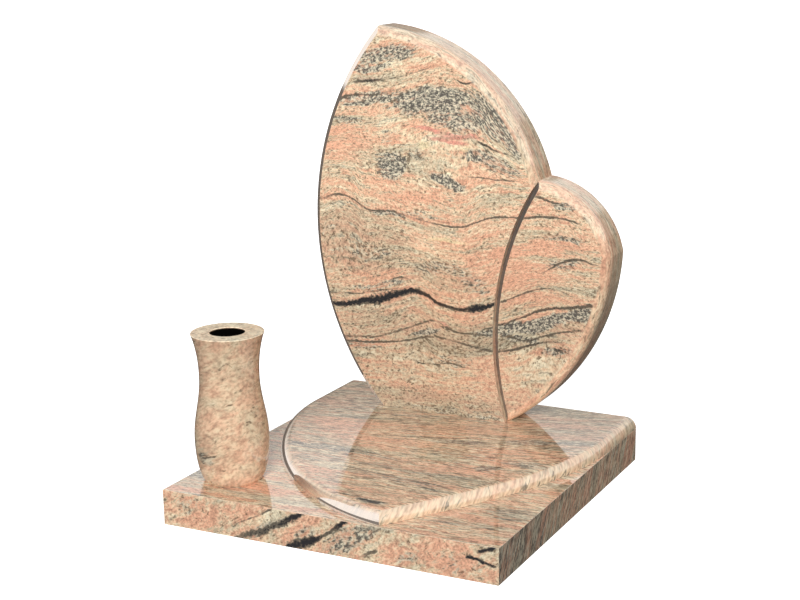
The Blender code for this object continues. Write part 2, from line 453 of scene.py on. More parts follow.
# Zones and veins laid out in mm on a face. A zone is x, z, half length, half height, tilt and strength;
# a vein is a path of x, z, half width and strength. On a top face, z stands for y, and the plate's veins
# count it from the slab's front edge.

def lensMask(tree, vector, spec):
    x, z, halfLong, halfHigh, tilt, strength = spec
    inputs = {
        "Vector": vector,
        "Location": (x * mm, 0, z * mm),
        "Rotation": (0, -math.radians(tilt), 0),
        "Scale": (halfLong * mm * lensRim, 1000, halfHigh * mm * lensRim),
    }
    local = put(tree, "ShaderNodeMapping", inputs, vector_type="TEXTURE")
    near = put(tree, "ShaderNodeTexGradient", {0: local.outputs[0]}, gradient_type="SPHERICAL")
    return spread(tree, near.outputs[1], 0.0, 0.56, 0.0, strength)


def zoneMasks(tree, face, zones):
    masks = dict(plainMasks)
    for zone, specs in zones.items():
        masks[zone] = most(tree, (lensMask(tree, face, spec) for spec in specs))
    return masks


# Three curves over the stone's length; each channel lists x in mm and a value from 0 to 1
def pathCurves(tree, along, channels):
    left, right = curveSpan["left"], curveSpan["right"]
    share = put(tree, "ShaderNodeMapRange", {"Value": along, "From Min": left, "From Max": right}).outputs[0]
    triple = put(tree, "ShaderNodeCombineColor", {0: share, 1: share, 2: share}).outputs[0]
    node = put(tree, "ShaderNodeRGBCurve", {"Color": triple})
    node.mapping.extend = "HORIZONTAL"
    for curve, channel in zip(node.mapping.curves, channels):
        while len(curve.points) < len(channel):
            curve.points.new(0.5, 0.5)
        for point, (x, value) in zip(curve.points, channel):
            point.location = ((x * mm - left) / (right - left), value)
    node.mapping.update()
    return put(tree, "ShaderNodeSeparateColor", {0: node.outputs[0]}).outputs


def veinMask(tree, along, across, grain, path):
    centres = [(x, z / veinSpan["high"]) for x, z, wide, strength in path]
    widths = [(x, wide / veinSpan["widest"]) for x, z, wide, strength in path]
    strengths = [(x, strength) for x, z, wide, strength in path]
    centre, width, strength = pathCurves(tree, along, (centres, widths, strengths))
    centre = maths(tree, "MULTIPLY", centre, veinSpan["high"] * mm)
    width = maths(tree, "MULTIPLY_ADD", width, veinSpan["widest"] * mm, 0.0003)
    away = maths(tree, "ABSOLUTE", maths(tree, "SUBTRACT", across, centre))
    ragged = maths(tree, "MULTIPLY_ADD", grain, 1.8, maths(tree, "DIVIDE", away, width))
    return maths(tree, "MULTIPLY", spread(tree, ragged, 2.6, 1.2), strength)


def veinsOn(tree, face, veins, turns, gritScale, front=0.0):
    along, across = axesOf(tree, warped(tree, face, *turns), "XZ")
    across = maths(tree, "SUBTRACT", across, front)
    grit = put(tree, "ShaderNodeTexNoise", {"Vector": face, "Scale": gritScale, "Detail": 1.0}).outputs[0]
    return most(tree, (veinMask(tree, along, across, grit, path) for path in veins))


# Base slab

slab = {
    "arris": 0.8 * mm,
    "arrisSteps": 3,
    "sharpDegrees": 35,
    # Painted shade darkens the right face and painted light lightens the top
    "rightPaintedShade": 0.92,
    "topPaintedLight": 1.12,
    "topDark": 0.02,
}
slabFrontVeins = (
    ((-75, -6, 5, 0), (-62, 1, 7, 1), (-35, 13, 8, 1), (-12, 22, 5, 1), (5, 33, 3, 0.7), (25, 49, 4, 0.9),
     (42, 62, 4, 1), (50, 68, 3, 0)),
    ((-170, -8, 4, 0), (-150, 4, 6, 0.6), (-110, 20, 6, 0.75), (-80, 36, 6, 0.8), (-45, 56, 5, 1),
     (-30, 66, 4, 0.8), (-20, 72, 3, 0)),
    ((-175, 17, 1, 0), (-160, 24, 1.2, 0.4), (-130, 38, 1.4, 0.5), (-100, 55, 1.4, 0.5), (-90, 62, 1, 0)),
    ((60, 4, 2, 0), (78, 12, 3.4, 0.6), (96, 22, 2, 0)),
    ((264, 48, 2, 0), (272, 51, 2.6, 1), (290, 58, 2.6, 1), (296, 60, 1, 0)),
    ((244, 36, 2, 0), (250, 38, 2.4, 1), (262, 38, 2.4, 1), (274, 34, 2.4, 0.9), (290, 31, 2.2, 0.9),
     (296, 30, 1, 0)),
)
slabFrontZones = {
    "grey": (
        (50, 34, 66, 20, 30, 0.6), (-30, 30, 30, 12, 34, 0.5), (-95, 30, 60, 9, 30, 0.7),
        (150, 18, 26, 10, 20, 0.5), (-250, 40, 30, 20, 0, 0.3), (240, 20, 60, 24, 0, 0.25),
    ),
    "cream": ((-70, 50, 60, 9, 30, 1.0), (-110, 44, 40, 8, 30, 0.9), (-12, 40, 20, 8, 30, 0.9)),
    "salmon": ((-210, 30, 70, 24, 10, 0.9), (-60, 18, 40, 8, 30, 0.9), (200, 30, 80, 26, 0, 0.8)),
}
slabTopZones = {
    "grey": (
        (-265, -205, 60, 50, 0, 0.6), (-190, -250, 60, 16, -4, 0.45), (270, -170, 50, 30, 4, 0.6),
        (200, -235, 60, 10, 0, 0.5),
    ),
    "salmon": ((200, -285, 120, 14, 2, 0.9), (-230, -285, 90, 14, 0, 0.7)),
    "cream": ((-120, -270, 90, 12, -6, 0.7), (-270, -240, 40, 20, 0, 0.6)),
}


def slabGranite():
    material, tree, shader, coords, normal = graniteTree("slabGranite")
    x, y, z = axesOf(tree, coords)
    sideways, upright = axesOf(tree, normal, "XZ")

    frontFace = planeOf(tree, x, z)
    masks = zoneMasks(tree, warped(tree, frontFace, (22, 0.012), (90, 0.006)), slabFrontZones)
    masks["vein"] = veinsOn(tree, frontFace, slabFrontVeins, ((40, 0.004), (150, 0.003)), 130.0)
    masks["wisp"] = 0.4
    front = graniteColor(tree, faceFlow(tree, x, z, 28, (20, 0.008)), coarseGrain, masks)

    masks = {**plainMasks, "grey": spread(tree, y, 0.0, -0.22, 0.25, 0.6)}
    right = graniteColor(tree, faceFlow(tree, y, z, 62, (14, 0.012)), streakyGrain, masks, (2, 0, 9))
    # Painted shade: the right face's colour is darkened
    right = brighter(tree, right, slab["rightPaintedShade"])

    masks = zoneMasks(tree, warped(tree, planeOf(tree, x, y), (9, 0.03)), slabTopZones)
    flow = faceFlow(tree, x, y, 3, (8, 0.016), (50, 0.004))
    top = graniteColor(tree, flow, {**streakyGrain, "dark": slab["topDark"]}, masks, (6, 0, 1))
    # Painted light: the top's colour is lightened
    top = brighter(tree, top, slab["topPaintedLight"])

    color = blendColor(tree, spread(tree, maths(tree, "ABSOLUTE", sideways), 0.6, 0.8), front, right)
    color = blendColor(tree, spread(tree, upright, 0.6, 0.8), color, top)
    tree.links.new(color, shader.inputs["Base Color"])
    return material


def makeSlab(material):
    bm = bmesh.new()
    bmesh.ops.create_cube(bm, size=1)
    bmesh.ops.scale(bm, vec=slabHigh - slabLow, verts=bm.verts)
    bmesh.ops.translate(bm, vec=(slabLow + slabHigh) / 2, verts=bm.verts)
    size, steps = slab["arris"], slab["arrisSteps"]
    bmesh.ops.bevel(bm, geom=bm.edges, offset=size, segments=steps, affect="EDGES", profile=0.5)
    mesh = bpy.data.meshes.new("baseSlab")
    bm.to_mesh(mesh)
    bm.free()
    standsFor(polished("baseSlab", mesh, material, slab["sharpDegrees"]), "base_slab")


# Leaf-shaped plate: two curved sides meet in a tip, with a quarter round all along

plate = {
    "tipX": 97 * mm,
    "tipFromFront": 4.5 * mm,
    "left": {"straight": 130 * mm, "pull": 195 * mm, "tipPull": 211 * mm, "tipAngle": 6.7},
    "right": {"straight": 120 * mm, "pull": 217 * mm, "tipPull": 135 * mm, "tipAngle": 57},
    "roundSteps": 20,
    "counts": (220, 180, 4),
    # Painted light lightens the top
    "topPaintedLight": 1.14,
    "topDark": 0.06,
    "duskOver": (0.0, 0.2),  # Y in metres between which the top greys towards its rear
    "dusk": (0.1, 0.6),  # before and behind them
    "swingOver": (-0.10, 0.15),  # Y in metres between which the layers swing towards the rear right
    "topSwing": 0.22,
}
plateZones = {
    "grey": (
        (-150, -60, 90, 14, 4, 0.9), (-40, -62, 70, 12, -6, 0.6), (60, 52, 60, 14, 14, 0.7),
        (175, 98, 44, 16, 14, 0.9), (240, 118, 50, 10, 14, 0.6), (165, -45, 28, 14, 28, 0.8),
        (-80, 150, 90, 10, 14, 0.5), (40, -150, 110, 14, -4, 0.5), (60, -253, 32, 8, 0, 0.9),
        (-120, -110, 60, 20, 0, 0.5), (60, -105, 120, 12, -3, 0.5), (230, -5, 60, 14, 6, 0.7),
        (80, -10, 110, 20, 6, 0.35),
    ),
    "salmon": (
        (-20, 105, 130, 24, 12, 1.0), (-180, 50, 60, 24, 0, 0.7), (90, 20, 90, 14, 6, 0.5),
        (140, -110, 70, 20, 0, 0.8), (30, -210, 70, 12, 0, 0.8), (230, 180, 80, 40, 0, 0.6),
        (60, -80, 90, 10, -4, 0.7), (130, -60, 60, 10, 0, 0.7),
    ),
    "cream": (
        (-90, -130, 60, 26, -8, 1.0), (-150, -85, 60, 10, 0, 0.9), (70, -30, 80, 10, 0, 0.7),
        (30, -130, 90, 8, 0, 0.5),
    ),
}
plateVeins = (
    ((-230, 312, 1, 0), (-222, 314, 1.4, 0.5), (-190, 320, 1.4, 0.5), (-165, 325, 1, 0)),
    ((-275, 387, 1, 0), (-265, 388, 1.2, 0.4), (-200, 394, 1.4, 0.4), (-120, 410, 1.8, 0.5),
     (-60, 430, 1.8, 0.5), (-40, 438, 1, 0)),
    ((-110, 322, 1, 0), (-60, 336, 1.6, 0.5), (0, 352, 2, 0.6), (60, 372, 2, 0.6), (95, 392, 1.4, 0)),
    ((-90, 236, 2, 0), (-70, 238, 3, 0.6), (-50, 242, 3, 0.6), (-20, 236, 1, 0)),
    ((-70, 168, 1.4, 0), (-40, 166, 1.8, 0.6), (20, 158, 1.8, 0.6), (60, 152, 1.6, 0.5),
     (120, 150, 2, 0.7), (150, 144, 1, 0)),
    ((150, 232, 2, 0), (162, 244, 3, 0.8), (174, 258, 3, 0.8), (184, 264, 2, 0)),
    ((35, 46, 2, 0), (46, 48, 3, 0.9), (66, 46, 3, 0.9), (80, 48, 2, 0.6), (100, 52, 1, 0)),
    ((100, 130, 2, 0), (112, 132, 2.4, 0.7), (124, 130, 2.4, 0.6), (136, 126, 1, 0)),
)


def plateGranite():
    material, tree, shader, coords, normal = graniteTree("plateGranite")
    x, y, z = axesOf(tree, coords)
    face = planeOf(tree, x, y)
    masks = zoneMasks(tree, warped(tree, face, (9, 0.03), (60, 0.006)), plateZones)
    masks["vein"] = veinsOn(tree, face, plateVeins, ((30, 0.006), (120, 0.004)), 170.0, slabLow.y)
    masks["dusk"] = spread(tree, y, *plate["duskOver"], *plate["dusk"])
    swing = spread(tree, y, *plate["swingOver"], 0.0, plate["topSwing"])
    level = maths(tree, "SUBTRACT", y, times(tree, swing, x))
    flow = faceFlow(tree, x, level, 0, (8, 0.016), (50, 0.004))
    top = graniteColor(tree, flow, {**streakyGrain, "dark": plate["topDark"]}, masks, (1, 0, 4))
    # Painted light: the top's colour is lightened
    top = brighter(tree, top, plate["topPaintedLight"])

    roundFlow = edgeFlow(tree, z, 50, (20, 0.012))
    side = graniteColor(tree, roundFlow, smearedGrain, {**plainMasks, "grey": 0.15, "cream": 0.3}, (4, 0, 2))
    sideways, upright = axesOf(tree, normal, "XZ")
    color = blendColor(tree, spread(tree, upright, 0.985, 0.90), top, side)
    leftRound = times(tree, spread(tree, sideways, 0.0, -0.03), spread(tree, upright, 0.97, 0.70))
    mirrorEdge(tree, shader, color, leftRound, granite["polishedEdge"], granite["edgeMirror"])
    return material


def plateSide(spec, side):
    edge = slabHigh.x * side
    start = slabHigh.y - spec["straight"]
    tip = np.array([plate["tipX"], slabLow.y + plate["tipFromFront"]])
    angle = math.radians(spec["tipAngle"])
    aim = tip + spec["tipPull"] * np.array([side * math.cos(angle), math.sin(angle)])
    curve = bezierLine((edge, start), (edge, start - spec["pull"]), aim, tip)
    pastRear = (edge, slabHigh.y + plateHigh.z - slabHigh.z)
    return np.vstack([np.linspace(pastRear, curve[0], 60)[:-1], curve])


def makePlate(material):
    left = plateSide(plate["left"], -1)
    right = plateSide(plate["right"], 1)[::-1]
    rear = np.array([[slabHigh.x * 1.05, slabHigh.y], [slabLow.x * 1.05, slabHigh.y]])
    radius = plateHigh.z - slabHigh.z
    rings = []
    for turn in np.radians(np.linspace(0, 90, plate["roundSteps"] + 1)):
        back = radius * (1 - math.cos(turn))
        height = max(slabHigh.z + radius * math.sin(turn), plateLow.z)
        sides = [insetLine(left, back, height), insetLine(right, back, height), insetLine(rear, 0, height)]
        rings.append(ringOf(sides, plate["counts"]))
    standsFor(stoneMesh("leafPlate", rings, material), "leaf_plate")


# Stele: outlines are arcs in the front view, in shares of its height; the depth stations form the edges

stele = {
    "leafLeft": (0.3506, 0.4885, 0.7672),
    "leafTop": (-0.2586, 0.5043, 0.4971),
    "dividing": (0.8578, 0.2227, 0.7572),
    "petalTop": (0.1997, 0.4181, 0.2184),
    "petalLow": (-0.1523, 0.4856, 0.5675),
    "high": 696 * mm,
    "round": 20 * mm,
    "leafChamfer": 12 * mm,
    "petalChamfer": 10 * mm,
    "roundSteps": 18,
    "backArris": 1.2 * mm,
    "leafCounts": (12, 150, 130, 180),
    "petalCounts": (4, 150, 90, 150),
    "layersLean": (0.35, 0.55),  # how far they move right and up as they run back through the stone
    "shadeToLightOver": (0.06, 0.60),  # heights in metres between which painted shade at the foot gives way to painted light
    "brightness": (0.76, 1.20),  # below and above them
    "flowReach": 100,  # mm to either side that a flow curve can show
    "flowStarts": (0.12, 0.25),  # heights in metres between which the lowest flow curve fades in
    "flowLower": (0.31, 0.43),  # and between which it hands over to the middle one
    "flowUpper": (0.48, 0.62),  # and that one to the top one
    "frontFacing": (0.985, 0.93),  # share of the normal to the front, from the face's stone to the sides'
    "chamferFacing": ((0.55, 0.65), (0.85, 0.76)),  # the same, where a chamfer begins and where it ends
    "jointBetween": (-0.10, -0.02),  # X in metres, from the left edge's finish to the joint's painted shade
}
steleZones = {
    "grey": (
        (-170, 648, 70, 14, 4, 0.75), (-45, 650, 92, 28, 6, 1.0), (0, 622, 70, 24, -8, 0.8),
        (68, 622, 62, 26, -46, 0.8), (108, 585, 34, 20, -55, 0.8), (-212, 610, 42, 7, 2, 0.7),
        (-130, 728, 70, 15, 8, 0.8), (-170, 703, 46, 9, 4, 0.85), (-128, 532, 36, 28, -15, 0.9),
        (-128, 580, 20, 16, 0, 0.4), (-75, 552, 24, 12, 8, 0.55), (45, 556, 40, 14, -10, 0.75),
        (88, 540, 42, 16, -14, 0.6), (-18, 510, 42, 10, -12, 0.9), (-140, 444, 44, 6, -2, 0.75),
        (-225, 455, 44, 14, 8, 0.25), (-225, 400, 60, 22, 0, 0.25), (-190, 368, 90, 14, 4, 0.35),
        (-40, 352, 60, 13, -4, 0.5), (30, 332, 44, 16, -35, 0.45), (-150, 312, 70, 8, 10, 0.5),
        (-62, 231, 36, 7, 14, 0.95), (72, 242, 42, 8, 4, 0.9), (150, 268, 84, 15, 15, 1.0),
        (232, 290, 40, 14, 10, 1.0), (130, 236, 40, 7, 10, 0.7), (205, 484, 28, 7, -8, 0.75),
        (200, 425, 44, 6, 0, 0.5), (205, 382, 40, 8, 14, 0.6), (-20, 180, 70, 11, 8, 0.45),
        (190, 226, 40, 9, 8, 0.6), (-200, 195, 50, 8, 4, 0.45), (-60, 445, 70, 8, -6, 0.35),
        (20, 88, 200, 8, 0, 0.35),
    ),
    "salmon": (
        (-215, 572, 50, 34, 0, 0.9), (-190, 338, 90, 18, 0, 1.0), (-20, 316, 46, 20, 0, 1.0),
        (170, 412, 80, 24, 4, 0.8), (-70, 122, 70, 16, 0, 0.9), (130, 306, 60, 12, 16, 0.8),
        (60, 380, 60, 36, 0, 0.8), (130, 345, 60, 20, 12, 0.7), (-60, 478, 80, 14, 2, 0.7),
        (0, 262, 60, 10, -4, 0.7), (-130, 262, 80, 10, 6, 0.6), (-110, 742, 50, 6, 0, 0.8),
    ),
    "cream": (
        (-245, 448, 26, 9, 10, 1.0), (20, 170, 150, 26, 0, 0.5), (160, 190, 80, 26, 8, 0.9),
        (-130, 600, 26, 26, 0, 0.8), (-125, 712, 34, 14, 0, 0.9), (-10, 540, 40, 10, 0, 0.6),
        (130, 245, 30, 8, 16, 0.9), (-40, 90, 140, 10, 0, 0.5), (-10, 575, 100, 14, 0, 0.6),
        (100, 555, 40, 10, -10, 0.7), (-130, 212, 110, 10, 8, 0.5),
    ),
    "red": (
        (-52, 598, 36, 5, -6, 1.0), (10, 591, 46, 6, 3, 1.0), (-18, 581, 40, 5, -4, 1.0),
        (-22, 246, 16, 3, -30, 0.8), (-165, 684, 30, 4, 4, 0.5),
    ),
    "yellow": (
        (-20, 402, 44, 5, 2, 0.9), (-60, 571, 14, 6, 0, 0.9), (18, 566, 12, 6, 0, 0.7),
        (105, 542, 8, 6, 0, 0.8),
    ),
    "dusk": (
        (-200, 395, 110, 60, -6, 0.75), (-130, 240, 110, 26, 6, 0.55), (-20, 215, 110, 26, 0, 1.0),
        (60, 235, 90, 26, 0, 0.9), (-60, 100, 200, 26, 0, 0.8), (-30, 345, 70, 24, -6, 0.5),
        (-175, 545, 60, 26, 0, 0.3), (180, 255, 100, 20, 14, 0.5),
    ),
}
steleVeins = (
    ((-262, 266, 3, 0.9), (-225, 268, 5, 1), (-190, 277, 6, 1), (-150, 285, 8, 1), (-118, 297, 6, 1),
     (-88, 305, 4.5, 1), (-62, 301, 3.5, 1), (-42, 289, 3, 1), (-12, 282, 2.6, 0.9), (18, 281, 4, 1),
     (34, 284, 7, 1), (54, 290, 5, 1), (78, 298, 2.5, 0.8), (84, 300, 1, 0)),
    ((84, 301, 1, 0), (92, 304, 1.6, 0.6), (105, 310, 1.5, 0.6), (130, 322, 1.5, 0.6),
     (158, 333, 1.4, 0.5), (190, 334, 1.2, 0.4), (215, 328, 1, 0)),
    ((-245, 204, 3, 0.5), (-200, 208, 2.4, 0.6), (-160, 213, 1.8, 0.6), (-112, 230, 1.8, 0.5),
     (-62, 250, 1.8, 0.6), (-42, 254, 1.8, 0.5), (-22, 243, 1.8, 0.5), (8, 237, 1.6, 0.5),
     (45, 238, 1.8, 0.5), (75, 236, 1.5, 0)),
    ((-245, 197, 2, 0.5), (-150, 203, 1.8, 0.6), (-100, 212, 1.8, 0.6), (-52, 224, 1.8, 0.6),
     (-18, 222, 1.6, 0.5), (30, 214, 2, 0.6), (75, 211, 2, 0.6), (105, 216, 2.4, 0.7), (140, 229, 2, 0.7),
     (175, 239, 1.6, 0.6), (215, 240, 1.2, 0)),
    ((40, 244, 1, 0), (75, 256, 1.6, 0.6), (92, 263, 1.8, 0.7), (130, 280, 2, 0.7), (170, 297, 2.2, 0.7),
     (212, 304, 2.6, 0.7), (250, 311, 3, 0.7), (290, 315, 2, 0.6)),
    ((90, 243, 1.2, 0), (112, 239, 1.6, 0.5), (132, 236, 1.6, 0.6), (155, 244, 1.6, 0.6),
     (190, 256, 1.8, 0.6), (225, 264, 1.8, 0.6), (262, 268, 1.5, 0.5)),
    ((-290, 457, 2.4, 0.5), (-262, 464, 2.2, 0.5), (-240, 471, 2, 0.5), (-212, 467, 1.6, 0.6),
     (-190, 455, 1.6, 0.6), (-170, 446, 2, 0.6), (-130, 449, 2, 0.5), (-95, 441, 1.6, 0.4),
     (-40, 432, 1.5, 0.5), (10, 430, 1.6, 0.6), (34, 439, 1.5, 0.6), (58, 449, 1.6, 0.6),
     (95, 454, 1.6, 0.6), (130, 456, 1.8, 0.6), (165, 461, 2, 0.6), (205, 460, 1.6, 0.6),
     (240, 452, 1.2, 0)),
    ((-250, 638, 2, 0.5), (-205, 652, 1.8, 0.6), (-165, 655, 1.6, 0.5), (-120, 664, 1.6, 0.4),
     (-80, 672, 1.4, 0)),
    ((-205, 675, 1.6, 0), (-190, 677, 2.4, 0.7), (-172, 679, 2.4, 0.8), (-130, 684, 1.4, 0.4),
     (-90, 694, 1.4, 0.4), (-45, 708, 1.4, 0.5), (-25, 712, 1, 0)),
    ((2, 690, 1, 0), (14, 683, 1.6, 0.8), (30, 684, 1.6, 0.7), (46, 692, 1, 0)),
    ((38, 584, 1, 0), (52, 580, 2.2, 0.8), (78, 570, 1.6, 0.6), (105, 562, 1.6, 0.5), (118, 556, 1, 0)),
    ((14, 520, 0.8, 0), (45, 521, 1.2, 0.5), (90, 519, 1.2, 0.5), (124, 522, 0.8, 0)),
    ((160, 360, 1, 0), (180, 371, 1.4, 0.6), (205, 385, 2, 0.7), (235, 391, 2, 0.7), (258, 386, 1.4, 0.5),
     (275, 384, 1, 0)),
    ((146, 495, 1, 0), (165, 493, 2, 0.7), (190, 487, 1.4, 0.5), (215, 484, 1, 0)),
    ((-140, 318, 1, 0), (-115, 328, 1.6, 0.5), (-98, 326, 1.4, 0.5), (-85, 315, 1, 0)),
    ((-290, 284, 1, 0.4), (-232, 288, 1.4, 0.5), (-200, 290, 1.4, 0.5), (-150, 301, 1.4, 0.5),
     (-110, 309, 1, 0)),
    ((-90, 172, 1, 0), (-50, 172, 1.4, 0.5), (-12, 178, 1.4, 0.5), (25, 172, 1.2, 0.4), (60, 176, 0.8, 0)),
    ((185, 228, 1, 0), (196, 226, 2.6, 0.8), (208, 228, 1, 0)),
)

# How far the layers rise and dip with the main veins, at three heights on the face
steleFlow = (
    (285, (
        (-262, 268), (-190, 277), (-150, 285), (-110, 299), (-85, 305), (-65, 302), (-45, 290),
        (-20, 283), (25, 283), (60, 291), (90, 303), (130, 320), (160, 330), (200, 332), (240, 330),
    )),
    (445, (
        (-270, 461), (-238, 471), (-205, 465), (-185, 452), (-130, 449), (-90, 441), (-40, 432),
        (10, 430), (35, 440), (60, 449), (110, 456), (205, 460), (240, 452),
    )),
    (650, (
        (-240, 640), (-205, 650), (-160, 655), (-120, 663), (-80, 672), (-30, 684), (10, 684), (40, 672),
        (70, 645), (100, 610), (120, 575),
    )),
)


def steleLift(tree, along, across):
    reach = stele["flowReach"]
    channels = []
    for level, path in steleFlow:
        channels.append([(x, 0.5 + (z - level) / (2 * reach)) for x, z in path])
    curves = pathCurves(tree, along, channels)
    low, middle, top = (maths(tree, "MULTIPLY_ADD", curve, 2 * reach * mm, -reach * mm) for curve in curves)
    starts, lower, upper = stele["flowStarts"], stele["flowLower"], stele["flowUpper"]
    lowShare = times(tree, spread(tree, across, *starts), spread(tree, across, *lower[::-1]))
    middleShare = times(tree, spread(tree, across, *lower), spread(tree, across, *upper[::-1]))
    topShare = spread(tree, across, *upper)
    return weighed(tree, times(tree, low, lowShare), (middle, middleShare), (top, topShare))


def steleGranite():
    material, tree, shader, coords, normal = graniteTree("steleGranite")
    x, y, z = axesOf(tree, coords)
    behind = maths(tree, "SUBTRACT", y, leafLow.y)
    leanRight, leanUp = stele["layersLean"]
    along = weighed(tree, x, (behind, leanRight))
    across = weighed(tree, z, (behind, leanUp))
    face = planeOf(tree, along, across)
    masks = zoneMasks(tree, warped(tree, face, (14, 0.028), (60, 0.012)), steleZones)
    masks["vein"] = veinsOn(tree, face, steleVeins, ((34, 0.004), (130, 0.003)), 170.0)
    masks["wisp"] = 0.6
    level = maths(tree, "SUBTRACT", across, steleLift(tree, along, across))
    flow = faceFlow(tree, along, level, 0, (11, 0.010), (60, 0.004))
    front = graniteColor(tree, flow, layeredGrain, masks)
    # Painted shade darkens the face towards its foot and painted light lightens it towards its top
    front = brighter(tree, front, spread(tree, z, *stele["shadeToLightOver"], *stele["brightness"]))

    edge = edgeFlow(tree, y, 0, (11, 0.014), (60, 0.004))
    lie = {**streakyGrain, "dark": 0.0, "hues": 0.9, "shades": 0.9}
    side = graniteColor(tree, edge, lie, {**plainMasks, "cream": 0.15, "wisp": 0.6}, (5, 0, 3))
    leftward, facing = axesOf(tree, normal, "XY")
    facing = maths(tree, "ABSOLUTE", facing)
    color = blendColor(tree, spread(tree, facing, *stele["frontFacing"]), front, side)

    begins, ends = stele["chamferFacing"]
    chamfer = times(tree, spread(tree, facing, *begins), spread(tree, facing, *ends))
    chamfer = times(tree, chamfer, spread(tree, leftward, -0.1, -0.25))
    # Painted shade: at the joint between leaf and petal the chamfer is near black, with a weaker mirror
    atJoint = spread(tree, x, *stele["jointBetween"])
    edgeColor = blendColor(tree, atJoint, granite["polishedEdge"], granite["jointPaintedShade"])
    mirror = spread(tree, x, *stele["jointBetween"], granite["edgeMirror"], granite["jointMirror"])
    mirrorEdge(tree, shader, color, chamfer, edgeColor, mirror)
    return material


def steleArc(name, start, end, grow=0.0):
    x, z, radius = (share * stele["high"] for share in stele[name])
    foot = plateHigh.z
    return arcLine((x, z + foot, radius + grow), start, end)


def edgeInsets(depth, chamfer, thick):
    cut = max(chamfer - depth, 0)
    short = max(stele["round"] - depth, 0)
    rounded = stele["round"] - math.sqrt(stele["round"] ** 2 - short**2)
    arris = stele["backArris"]
    tail = max(depth - (thick - arris), 0)
    softened = arris - math.sqrt(max(arris**2 - tail**2, 0))  # the back's edges are only broken
    return cut + softened, rounded + softened


def steleDepths(chamfer, thick):
    front = stele["round"] * (1 - np.cos(np.radians(np.linspace(0, 90, stele["roundSteps"] + 1))))
    back = thick - stele["backArris"] * (1 - np.sin(np.radians(np.linspace(0, 90, 4))))
    return sorted({*front.tolist(), chamfer, *back.tolist()})


def footLine():
    count = 80
    return np.column_stack([np.linspace(slabLow.x, slabHigh.x, count), np.full(count, leafLow.z)])


def leafRing(cut, rounded):
    sides = [
        insetLine(footLine(), 0, 0),
        insetLine(steleArc("dividing", 198, 145, jointGap / 2), 0, 0),
        insetLine(steleArc("leafTop", 14, 88), rounded, 0),
        insetLine(steleArc("leafLeft", 137, 221), cut, 0),
    ]
    return ringOf(sides, stele["leafCounts"])


def petalRing(cut, rounded):
    foot = insetLine(footLine(), 0, 0)
    low = insetLine(steleArc("petalLow", -60, 2), rounded, 0)
    top = insetLine(steleArc("petalTop", 8, 90), rounded, 0)
    inner = insetLine(steleArc("dividing", 142, 200, -jointGap / 2), cut, 0)
    counts = stele["petalCounts"]
    if crossingOf(foot, low)[0] > crossingOf(inner, foot)[1]:
        return ringOf([foot, low, top, inner], counts)
    start = crossingOf(inner, low)  # the edges meet above the foot, so the ring ends in a point there
    tip = crossingOf(low, top)
    crown = crossingOf(top, inner)
    parts = [np.tile(pointAt(low, start[1]), (counts[0], 1))]
    parts.append(stretchOf(low, start[1], tip[0], counts[1]))
    parts.append(stretchOf(top, tip[1], crown[0], counts[2]))
    parts.append(stretchOf(inner, crown[1], start[0], counts[3]))
    return np.vstack(parts)


def makeSteleStone(name, node, outline, chamfer, material):
    thick = leafHigh.y - leafLow.y
    rings = []
    for depth in steleDepths(chamfer, thick):
        points = outline(*edgeInsets(depth, chamfer, thick))
        rings.append(np.column_stack([points[:, 0], np.full(len(points), leafLow.y + depth), points[:, 1]]))
    standsFor(stoneMesh(name, rings, material), node)


# Vase: a profile turned round its axis by Geometry Nodes

vase = {
    "rim": 59.5 * mm,
    "neck": 48.7 * mm,
    "neckHigh": 176 * mm,
    "belly": 60.7 * mm,
    "bellyHigh": 73 * mm,
    "foot": 46 * mm,
    "bore": 28.5 * mm,
    "boreDeep": 200 * mm,
    "boreCorner": 4 * mm,
    "arris": 0.9 * mm,
    "around": 160,
    "sharpDegrees": 40,
    "flareBend": 2.3,
    "flareSteps": 24,
    "bodySteps": 32,
    "footReach": 0.97,  # how much of a quarter circle the foot's curve takes up
    "footSteps": 28,
    "spotsAt": (-0.013, -0.056, 0.112),  # from its axis
    "spotsReach": (0.026, 0.03, 0.024),
    "brightness": 0.90,
    "rimPaintedLight": 0.36,  # painted light added on the rim's top
    # Painted shade inside the bore
    "borePaintedShade": (0.012, 0.011, 0.010),
    "boreRoughness": 0.6,
}


# The bore is painted near black as painted shade inside the hole, and rough; the vase's underside keeps its
# stone
def boreFinish(tree, shader, centred, color):
    z = axesOf(tree, centred, "Z")[0]
    floor = vaseHigh.z - vase["boreDeep"]
    flat = vectorMaths(tree, "MULTIPLY", centred, (1, 1, 0))[0]
    radius = vectorMaths(tree, "LENGTH", flat)["Value"]
    belowRim = spread(tree, z, vaseHigh.z - 0.5 * mm, vaseHigh.z - 3 * mm)
    inBore = times(tree, spread(tree, radius, vase["bore"] + 2.5 * mm, vase["bore"] + 1 * mm), belowRim)
    inBore = times(tree, inBore, spread(tree, z, floor - 30 * mm, floor - 20 * mm))
    color = blendColor(tree, inBore, color, vase["borePaintedShade"])
    tree.links.new(color, shader.inputs["Base Color"])
    roughness = spread(tree, inBore, 0.0, 1.0, granite["roughness"], vase["boreRoughness"])
    tree.links.new(roughness, shader.inputs["Roughness"])
    tree.links.new(inBore, shader.inputs["Metallic"])


